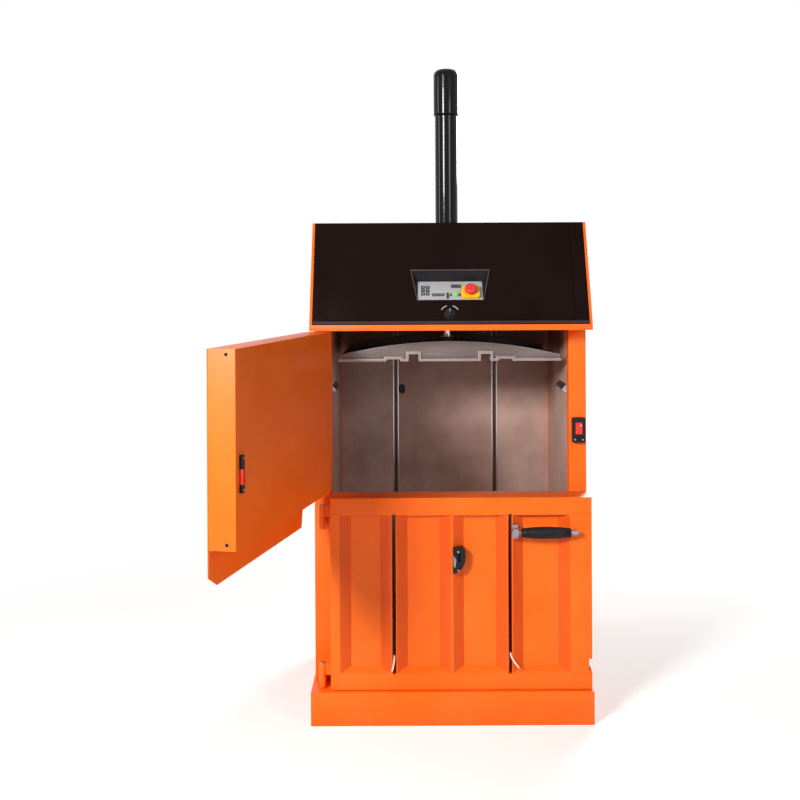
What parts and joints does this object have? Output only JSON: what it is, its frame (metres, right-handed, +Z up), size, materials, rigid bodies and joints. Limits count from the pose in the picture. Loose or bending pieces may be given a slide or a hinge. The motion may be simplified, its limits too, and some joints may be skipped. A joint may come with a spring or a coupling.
{
  "type": "recycling baler",
  "caption": "Upright recycling baler with a side-hinged loading door, a lower bale door with strap slots, a hydraulic press platen and a sloped control hood.",
  "frame": {"origin": "on the floor, at the centre of the four anchor holes in the base plate", "axes": "+Z up, +X to the operator's right, +Y to the machine's back"},
  "size_m": [1.1067, 1.6064, 2.173],
  "materials": {
    "orange_paint": "semi-gloss powder coat",
    "chamber_paint": "satin paint, scuffed",
    "black_cover_paint": "satin powder coat",
    "gloss_black_paint": "gloss enamel",
    "grey_paint": "satin paint",
    "chrome": "hard chrome, ground",
    "zinc_steel": "bright zinc",
    "black_plastic": "moulded, fine grain",
    "grey_plastic": "satin",
    "tank_plastic": "moulded",
    "cast_aluminium": "as cast",
    "yellow_plastic": "moulded",
    "red_plastic": "moulded gloss",
    "green_plastic": "moulded gloss",
    "strap_polyester": "woven"
  },
  "bodies": {
    "frame": {"base_frame": "orange_paint", "front_posts": "orange_paint", "rear_posts": "orange_paint", "rear_panel": "orange_paint", "hood_floor": "orange_paint", "hood_cheek_left": "orange_paint", "hood_cheek_right": "orange_paint", "hinge_brackets": "orange_paint", "chamber_floor": "chamber_paint", "left_wall": "chamber_paint", "right_wall": "chamber_paint", "back_wall": "chamber_paint", "hood_cover": "black_cover_paint", "hood_top": "black_cover_paint", "hood_rear_panel": "black_cover_paint", "cylinder_beams": "black_cover_paint", "cylinder_flange": "black_cover_paint", "cylinder_barrel": "gloss_black_paint", "cylinder_cap": "gloss_black_paint", "cylinder_gland": "gloss_black_paint", "flange_bolts": "zinc_steel", "pressure_pipes": "zinc_steel", "control_pocket": "black_plastic", "door_interlock": "black_plastic", "selector_bezel": "black_plastic", "cable_gland": "black_plastic", "chamber_sensor": "black_plastic", "control_plate": "grey_plastic", "electrical_box": "grey_plastic", "oil_tank": "tank_plastic", "pump_motor": "cast_aluminium", "valve_block": "cast_aluminium", "estop_base": "yellow_plastic", "interlock_head": "red_plastic"},
    "ram": {"piston_rod": "chrome", "rod_flange": "grey_paint", "platen_plate": "grey_paint", "platen_webs": "grey_paint"},
    "loading_door": {"loading_door_panel": "orange_paint", "loading_door_tray": "orange_paint", "door_actuator": "black_plastic", "loading_door_knuckles": "orange_paint"},
    "bale_door": {"bale_door_frame": "orange_paint", "bale_door_panel_left": "orange_paint", "bale_door_panel_middle": "orange_paint", "bale_door_panel_right": "orange_paint", "bale_door_liner": "chamber_paint", "bale_door_knuckles": "orange_paint", "lever_bracket": "zinc_steel", "twine_cutter": "black_plastic", "strap_tail_left": "strap_polyester", "strap_tail_right": "strap_polyester"},
    "latch_lever": {"latch_lever": "zinc_steel", "lever_grip": "black_plastic"},
    "lock_bolt": {"lock_bolt": "zinc_steel"},
    "claw_left": {"retainer_claw_left": "zinc_steel"},
    "claw_right": {"retainer_claw_right": "zinc_steel"},
    "estop_button": {"estop_button": "red_plastic"},
    "start_button": {"start_button": "green_plastic"},
    "selector_knob": {"selector_knob": "black_plastic"}
  },
  "joints": [
    {"name": "ram_slide", "type": "slide", "parent": "frame", "child": "ram", "axis": [0, 0, -1], "range_m": [0, 0.7]},
    {"name": "loading_door_hinge", "type": "hinge", "parent": "frame", "child": "loading_door", "pos_m": [-0.42, -0.34, 1], "axis": [0, 0, -1], "range_deg": [-102.6, 62.4]},
    {"name": "bale_door_hinge", "type": "hinge", "parent": "frame", "child": "bale_door", "pos_m": [-0.42, -0.34, 0.42], "axis": [0, 0, -1], "range_deg": [0, 100]},
    {"name": "lever_pivot", "type": "hinge", "parent": "bale_door", "child": "latch_lever", "pos_m": [0.203, -0.405, 0.62], "axis": [0, 1, 0], "range_deg": [0, 90]},
    {"name": "lock_bolt_slide", "type": "slide", "parent": "bale_door", "child": "lock_bolt", "axis": [0, 0, -1], "range_m": [0, 0.0256]},
    {"name": "claw_left_pivot", "type": "hinge", "parent": "frame", "child": "claw_left", "pos_m": [-0.408, -0.08, 1.072], "axis": [0, 1, 0], "range_deg": [0, 22], "stiffness_Nm_per_rad": 5, "springref_deg": -5.73},
    {"name": "claw_right_pivot", "type": "hinge", "parent": "frame", "child": "claw_right", "pos_m": [0.408, -0.08, 1.072], "axis": [0, -1, 0], "range_deg": [0, 22], "stiffness_Nm_per_rad": 5, "springref_deg": -5.73},
    {"name": "estop_press", "type": "slide", "parent": "frame", "child": "estop_button", "axis": [0, 0.7071, -0.7071], "range_m": [0, 0.004], "stiffness_N_per_m": 1500, "springref_m": -0.001},
    {"name": "start_press", "type": "slide", "parent": "frame", "child": "start_button", "axis": [0, 0.7071, -0.7071], "range_m": [0, 0.002], "stiffness_N_per_m": 500, "springref_m": -0.0005},
    {"name": "selector_turn", "type": "hinge", "parent": "frame", "child": "selector_knob", "pos_m": [-0.003, -0.37469, 1.31647], "axis": [0, -0.8992, 0.4375], "range_deg": [-45, 45]}
  ],
  "couplings": [
    {"joint": "lock_bolt_slide", "follows": "lever_pivot", "m_per_rad": 0.016206}
  ]
}
